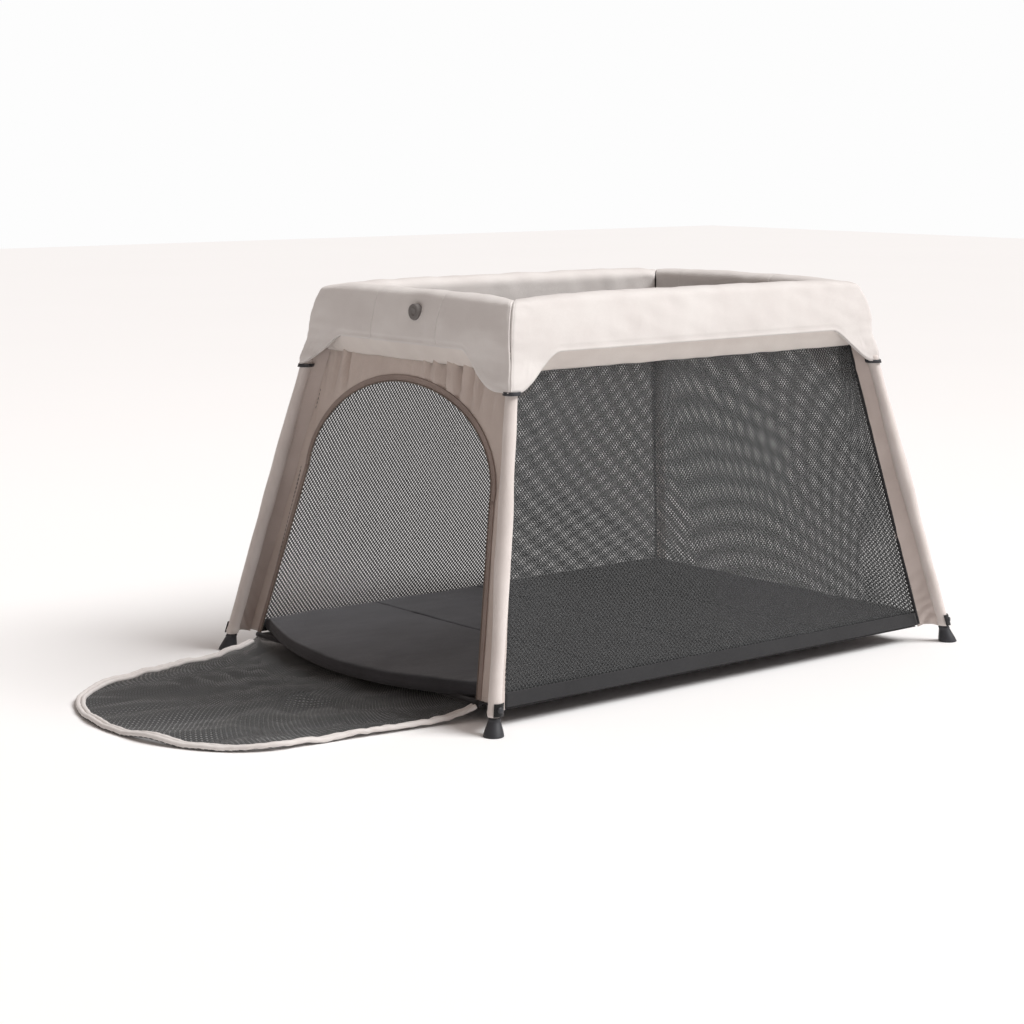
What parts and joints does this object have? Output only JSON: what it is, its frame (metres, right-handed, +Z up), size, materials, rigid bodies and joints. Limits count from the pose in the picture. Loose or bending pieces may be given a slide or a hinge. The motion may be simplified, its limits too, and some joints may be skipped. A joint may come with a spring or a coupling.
{
  "type": "folding travel playpen",
  "caption": "Rectangular fabric playpen with splayed legs, padded top rails, mesh walls, folding mattress and a zip-off door flap laid open at one end.",
  "frame": {"origin": "on the floor, under the middle of the whole object with its flap laid out", "axes": "+X along the length, away from the door end; +Z up; -Y is the front long side"},
  "size_m": [1.4956, 0.786, 0.65],
  "materials": {
    "cover_fabric": "pale padded polyester, matt",
    "sleeve_fabric": "pale woven polyester sleeve, matt",
    "web_fabric": "taupe woven polyester, matt",
    "netting": "dark grey warp-knit mesh",
    "mattress_fabric": "charcoal brushed polyester",
    "floor_fabric": "dark coated polyester",
    "dark_plastic": "moulded, fine texture",
    "black_webbing": "woven webbing",
    "steel_frame": "grey powder coat",
    "rail_tube": "satin drawn tube"
  },
  "bodies": {
    "front_frame": {"front_left_corner_bracket": "steel_frame", "front_left_leg_tube": "steel_frame", "front_left_foot": "dark_plastic", "front_left_leg_sleeve": "sleeve_fabric", "front_left_leg_strap": "black_webbing", "front_left_web": "web_fabric", "front_right_corner_bracket": "steel_frame", "front_right_leg_tube": "steel_frame", "front_right_foot": "dark_plastic", "front_right_leg_sleeve": "sleeve_fabric", "front_right_leg_strap": "black_webbing", "front_right_web": "web_fabric", "front_rail_tube": "rail_tube", "front_rail_cover": "cover_fabric", "front_mesh_wall": "netting", "right_mesh_wall": "netting", "door_wall": "web_fabric", "door_zip_tape": "web_fabric", "floor_sheet": "floor_fabric", "mattress_panel_4": "mattress_fabric"},
    "rear_frame": {"rear_left_corner_bracket": "steel_frame", "rear_left_leg_tube": "steel_frame", "rear_left_foot": "dark_plastic", "rear_left_leg_sleeve": "sleeve_fabric", "rear_left_leg_strap": "black_webbing", "rear_left_web": "web_fabric", "rear_right_corner_bracket": "steel_frame", "rear_right_leg_tube": "steel_frame", "rear_right_foot": "dark_plastic", "rear_right_leg_sleeve": "sleeve_fabric", "rear_right_leg_strap": "black_webbing", "rear_right_web": "web_fabric", "rear_rail_tube": "rail_tube", "rear_rail_cover": "cover_fabric", "rear_mesh_wall": "netting"},
    "door_flap": {"door_flap_netting": "netting", "door_flap_binding": "cover_fabric"},
    "mattress_third": {"mattress_panel_3": "mattress_fabric"},
    "mattress_second": {"mattress_panel_2": "mattress_fabric"},
    "mattress_first": {"mattress_panel_1": "mattress_fabric"},
    "left_front_half": {"left_rail_front_tube": "rail_tube", "left_rail_front_plug": "dark_plastic", "left_hinge_front_half": "dark_plastic", "left_rail_front_cover": "cover_fabric"},
    "left_rear_half": {"left_rail_rear_tube": "rail_tube", "left_rail_rear_plug": "dark_plastic", "left_hinge_rear_half": "dark_plastic", "left_rail_rear_cover": "cover_fabric"},
    "left_button": {"left_release_button": "dark_plastic"},
    "right_front_half": {"right_rail_front_tube": "rail_tube", "right_rail_front_plug": "dark_plastic", "right_hinge_front_half": "dark_plastic", "right_rail_front_cover": "cover_fabric"},
    "right_rear_half": {"right_rail_rear_tube": "rail_tube", "right_rail_rear_plug": "dark_plastic", "right_hinge_rear_half": "dark_plastic", "right_rail_rear_cover": "cover_fabric"},
    "right_button": {"right_release_button": "dark_plastic"}
  },
  "joints": [
    {"name": "frame_fold", "type": "hinge", "parent": "front_frame", "child": "left_front_half", "pos_m": [-0.15322, -0.177, 0.612], "axis": [-1, 0, 0], "range_deg": [0, 84], "deforming": ["front_rail_cover", "rear_rail_cover", "left_rail_front_cover", "left_rail_rear_cover", "right_rail_front_cover", "right_rail_rear_cover", "right_mesh_wall", "front_mesh_wall", "rear_mesh_wall", "door_wall", "door_zip_tape", "floor_sheet", "mattress_panel_1", "mattress_panel_2", "mattress_panel_3", "mattress_panel_4", "door_flap_netting", "door_flap_binding"]},
    {"name": "left_centre_hinge", "type": "hinge", "parent": "left_front_half", "child": "left_rear_half", "pos_m": [-0.15322, 0, 0.632], "axis": [1, 0, 0], "range_deg": [0, 168]},
    {"name": "rear_frame_pivot", "type": "hinge", "parent": "left_rear_half", "child": "rear_frame", "pos_m": [-0.15322, 0.177, 0.612], "axis": [-1, 0, 0], "range_deg": [0, 84]},
    {"name": "right_front_pivot", "type": "hinge", "parent": "front_frame", "child": "right_front_half", "pos_m": [0.57878, -0.177, 0.612], "axis": [-1, 0, 0], "range_deg": [0, 84]},
    {"name": "right_centre_hinge", "type": "hinge", "parent": "right_front_half", "child": "right_rear_half", "pos_m": [0.57878, 0, 0.632], "axis": [1, 0, 0], "range_deg": [0, 168]},
    {"name": "left_button_press", "type": "slide", "parent": "left_front_half", "child": "left_button", "axis": [1, 0, 0], "range_m": [0, 0.005], "stiffness_N_per_m": 400, "springref_m": -0.004},
    {"name": "right_button_press", "type": "slide", "parent": "right_front_half", "child": "right_button", "axis": [-1, 0, 0], "range_m": [0, 0.005], "stiffness_N_per_m": 400, "springref_m": -0.004},
    {"name": "door_flap_swing", "type": "hinge", "parent": "front_frame", "child": "door_flap", "pos_m": [-0.26522, 0, 0.025], "axis": [0, 1, 0], "range_deg": [0, 103.2]},
    {"name": "mattress_fold_right", "type": "hinge", "parent": "front_frame", "child": "mattress_third", "pos_m": [0.44578, 0, 0.056], "axis": [0, 1, 0], "range_deg": [0, 70]},
    {"name": "mattress_fold_middle", "type": "hinge", "parent": "mattress_third", "child": "mattress_second", "pos_m": [0.21278, 0, 0.031], "axis": [0, 1, 0], "range_deg": [-140, 0]},
    {"name": "mattress_fold_left", "type": "hinge", "parent": "mattress_second", "child": "mattress_first", "pos_m": [-0.02022, 0, 0.056], "axis": [0, 1, 0], "range_deg": [0, 140]}
  ],
  "couplings": [
    {"joint": "left_centre_hinge", "follows": "frame_fold", "ratio": 2},
    {"joint": "rear_frame_pivot", "follows": "frame_fold", "ratio": 1},
    {"joint": "right_front_pivot", "follows": "frame_fold", "ratio": 1},
    {"joint": "right_centre_hinge", "follows": "frame_fold", "ratio": 2},
    {"joint": "mattress_fold_right", "follows": "frame_fold", "ratio": 0.83333},
    {"joint": "mattress_fold_middle", "follows": "frame_fold", "ratio": -1.6667},
    {"joint": "mattress_fold_left", "follows": "frame_fold", "ratio": 1.6667}
  ]
}
